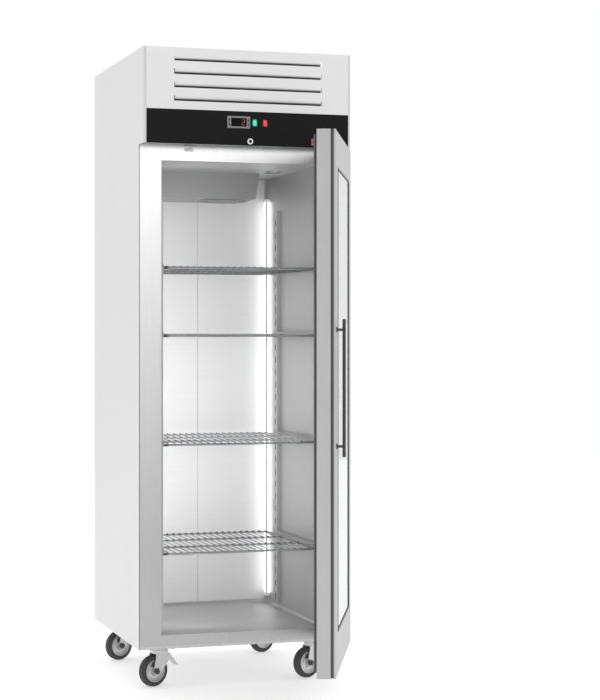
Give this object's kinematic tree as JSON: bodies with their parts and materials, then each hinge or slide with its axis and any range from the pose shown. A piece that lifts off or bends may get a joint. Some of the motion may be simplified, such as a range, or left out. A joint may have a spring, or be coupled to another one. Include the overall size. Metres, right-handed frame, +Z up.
{
  "type": "reach in refrigerator",
  "caption": "Upright stainless reach-in refrigerator with a glazed swing door, wire shelves, top-mounted cooling unit, control panel and swivel casters.",
  "frame": {"origin": "on the floor, under the middle of the cabinet's footprint", "axes": "+Z up, front faces -Y, +X to the right seen from the front; the door hangs on the +X side and stands open 67 degrees at rest"},
  "size_m": [0.6838, 1.3567, 2.01],
  "materials": {
    "stainless_outer": "satin",
    "stainless_inner": "satin",
    "galvanised": "satin",
    "black_panel": "satin",
    "door_frame_grey": "satin",
    "foam": "matte",
    "dark_plastic": "matte",
    "grey_plastic": "satin",
    "white_plastic": "gloss",
    "black_plastic": "gloss",
    "green_lens": "gloss",
    "red_lens": "gloss",
    "chrome": "polished",
    "zinc": "satin",
    "wheel_rubber": "matte",
    "gasket_rubber": "matte",
    "clear_glass": "polished",
    "copper": "satin",
    "compressor_black": "satin",
    "fins": "satin",
    "lamp": "satin"
  },
  "bodies": {
    "cabinet": {"left_side_panel": "stainless_outer", "right_side_panel": "stainless_outer", "back_panel": "galvanised", "base_pan": "galvanised", "insulation": "foam", "inner_liner": "stainless_inner", "front_frame": "stainless_outer", "grille_panel": "stainless_outer", "control_panel": "black_panel", "hood_base": "stainless_outer", "controller_case": "grey_plastic", "switch_frames": "black_plastic", "lock_barrel": "chrome", "door_switch_case": "white_plastic", "machine_deck": "galvanised", "compressor": "compressor_black", "condenser_coil": "fins", "condenser_fan_shroud": "compressor_black", "refrigerant_pipes": "copper", "electrical_box": "dark_plastic", "rear_guard": "galvanised", "evaporator_cover": "stainless_inner", "evaporator_coil": "fins", "evaporator_fan_motor": "dark_plastic", "led_lamps": "lamp", "pilasters": "stainless_inner", "shelf_runners": "stainless_inner", "hinge_brackets": "zinc", "caster_mounts": "zinc"},
    "door": {"door_skin": "stainless_outer", "door_core": "dark_plastic", "door_liner": "door_frame_grey", "door_glass": "clear_glass", "door_gasket": "gasket_rubber", "door_handle": "chrome", "hinge_bushes": "black_plastic"},
    "controller_button_1": {"controller_button_1": "grey_plastic"},
    "controller_button_2": {"controller_button_2": "grey_plastic"},
    "controller_button_3": {"controller_button_3": "grey_plastic"},
    "controller_button_4": {"controller_button_4": "grey_plastic"},
    "power_rocker": {"power_rocker": "green_lens"},
    "light_rocker": {"light_rocker": "red_lens"},
    "lock_plug": {"lock_plug": "chrome"},
    "door_switch_plunger": {"door_switch_plunger": "white_plastic"},
    "condenser_fan_blades": {"condenser_fan_blades": "fins"},
    "evaporator_fan_blades": {"evaporator_fan_blades": "dark_plastic"},
    "shelf_1": {"shelf_1": "chrome"},
    "shelf_2": {"shelf_2": "chrome"},
    "shelf_3": {"shelf_3": "chrome"},
    "shelf_4": {"shelf_4": "chrome"},
    "caster_fork_front_left": {"caster_fork_front_left": "zinc"},
    "caster_wheel_front_left": {"caster_wheel_front_left": "wheel_rubber"},
    "brake_pedal_front_left": {"brake_pedal_front_left": "zinc"},
    "caster_fork_front_right": {"caster_fork_front_right": "zinc"},
    "caster_wheel_front_right": {"caster_wheel_front_right": "wheel_rubber"},
    "brake_pedal_front_right": {"brake_pedal_front_right": "zinc"},
    "caster_fork_rear_left": {"caster_fork_rear_left": "zinc"},
    "caster_wheel_rear_left": {"caster_wheel_rear_left": "wheel_rubber"},
    "caster_fork_rear_right": {"caster_fork_rear_right": "zinc"},
    "caster_wheel_rear_right": {"caster_wheel_rear_right": "wheel_rubber"}
  },
  "joints": [
    {"name": "door_hinge", "type": "hinge", "parent": "cabinet", "child": "door", "pos_m": [0.33, -0.363, 0.9], "axis": [0, 0, 1], "range_deg": [-67, 43]},
    {"name": "button_1_press", "type": "slide", "parent": "cabinet", "child": "controller_button_1", "axis": [0, 1, 0], "range_m": [0, 0.0008], "stiffness_N_per_m": 500},
    {"name": "button_2_press", "type": "slide", "parent": "cabinet", "child": "controller_button_2", "axis": [0, 1, 0], "range_m": [0, 0.0008], "stiffness_N_per_m": 500},
    {"name": "button_3_press", "type": "slide", "parent": "cabinet", "child": "controller_button_3", "axis": [0, 1, 0], "range_m": [0, 0.0008], "stiffness_N_per_m": 500},
    {"name": "button_4_press", "type": "slide", "parent": "cabinet", "child": "controller_button_4", "axis": [0, 1, 0], "range_m": [0, 0.0008], "stiffness_N_per_m": 500},
    {"name": "power_rocker_tilt", "type": "hinge", "parent": "cabinet", "child": "power_rocker", "pos_m": [0.019, -0.371, 1.783], "axis": [1, 0, 0], "range_deg": [0, 12]},
    {"name": "light_rocker_tilt", "type": "hinge", "parent": "cabinet", "child": "light_rocker", "pos_m": [0.053, -0.371, 1.783], "axis": [1, 0, 0], "range_deg": [0, 12]},
    {"name": "lock_turn", "type": "hinge", "parent": "cabinet", "child": "lock_plug", "pos_m": [0.004, -0.365, 1.724], "axis": [0, 1, 0], "range_deg": [0, 90]},
    {"name": "door_switch_press", "type": "slide", "parent": "cabinet", "child": "door_switch_plunger", "axis": [0, 1, 0], "range_m": [0, 0.006], "stiffness_N_per_m": 300},
    {"name": "condenser_fan_spin", "type": "hinge", "parent": "cabinet", "child": "condenser_fan_blades", "pos_m": [-0.09, -0.244, 1.862], "axis": [0, 1, 0], "continuous": true},
    {"name": "evaporator_fan_spin", "type": "hinge", "parent": "cabinet", "child": "evaporator_fan_blades", "pos_m": [0.07, 0.195, 1.599], "axis": [0, 0, 1], "continuous": true},
    {"name": "shelf_1_slide", "type": "slide", "parent": "cabinet", "child": "shelf_1", "axis": [0, -1, 0], "range_m": [0, 0.1]},
    {"name": "shelf_2_slide", "type": "slide", "parent": "cabinet", "child": "shelf_2", "axis": [0, -1, 0], "range_m": [0, 0.1]},
    {"name": "shelf_3_slide", "type": "slide", "parent": "cabinet", "child": "shelf_3", "axis": [0, -1, 0], "range_m": [0, 0.1]},
    {"name": "shelf_4_slide", "type": "slide", "parent": "cabinet", "child": "shelf_4", "axis": [0, -1, 0], "range_m": [0, 0.1]},
    {"name": "caster_swivel_front_left", "type": "hinge", "parent": "cabinet", "child": "caster_fork_front_left", "pos_m": [-0.256, -0.235, 0.11], "axis": [0, 0, 1], "continuous": true},
    {"name": "wheel_spin_front_left", "type": "hinge", "parent": "caster_fork_front_left", "child": "caster_wheel_front_left", "pos_m": [-0.2783, -0.24387, 0.05], "axis": [-0.3697, 0.9291, 0], "continuous": true},
    {"name": "brake_front_left", "type": "hinge", "parent": "caster_fork_front_left", "child": "brake_pedal_front_left", "pos_m": [-0.22534, -0.2228, 0.096], "axis": [-0.3697, 0.9291, 0], "range_deg": [-25, 0]},
    {"name": "caster_swivel_front_right", "type": "hinge", "parent": "cabinet", "child": "caster_fork_front_right", "pos_m": [0.256, -0.235, 0.11], "axis": [0, 0, 1], "continuous": true},
    {"name": "wheel_spin_front_right", "type": "hinge", "parent": "caster_fork_front_right", "child": "caster_wheel_front_right", "pos_m": [0.2337, -0.24387, 0.05], "axis": [-0.3697, 0.9291, 0], "continuous": true},
    {"name": "brake_front_right", "type": "hinge", "parent": "caster_fork_front_right", "child": "brake_pedal_front_right", "pos_m": [0.28666, -0.2228, 0.096], "axis": [-0.3697, 0.9291, 0], "range_deg": [-25, 0]},
    {"name": "caster_swivel_rear_left", "type": "hinge", "parent": "cabinet", "child": "caster_fork_rear_left", "pos_m": [-0.256, 0.275, 0.11], "axis": [0, 0, 1], "continuous": true},
    {"name": "wheel_spin_rear_left", "type": "hinge", "parent": "caster_fork_rear_left", "child": "caster_wheel_rear_left", "pos_m": [-0.2783, 0.26613, 0.05], "axis": [-0.3697, 0.9291, 0], "continuous": true},
    {"name": "caster_swivel_rear_right", "type": "hinge", "parent": "cabinet", "child": "caster_fork_rear_right", "pos_m": [0.256, 0.275, 0.11], "axis": [0, 0, 1], "continuous": true},
    {"name": "wheel_spin_rear_right", "type": "hinge", "parent": "caster_fork_rear_right", "child": "caster_wheel_rear_right", "pos_m": [0.2337, 0.26613, 0.05], "axis": [-0.3697, 0.9291, 0], "continuous": true}
  ]
}
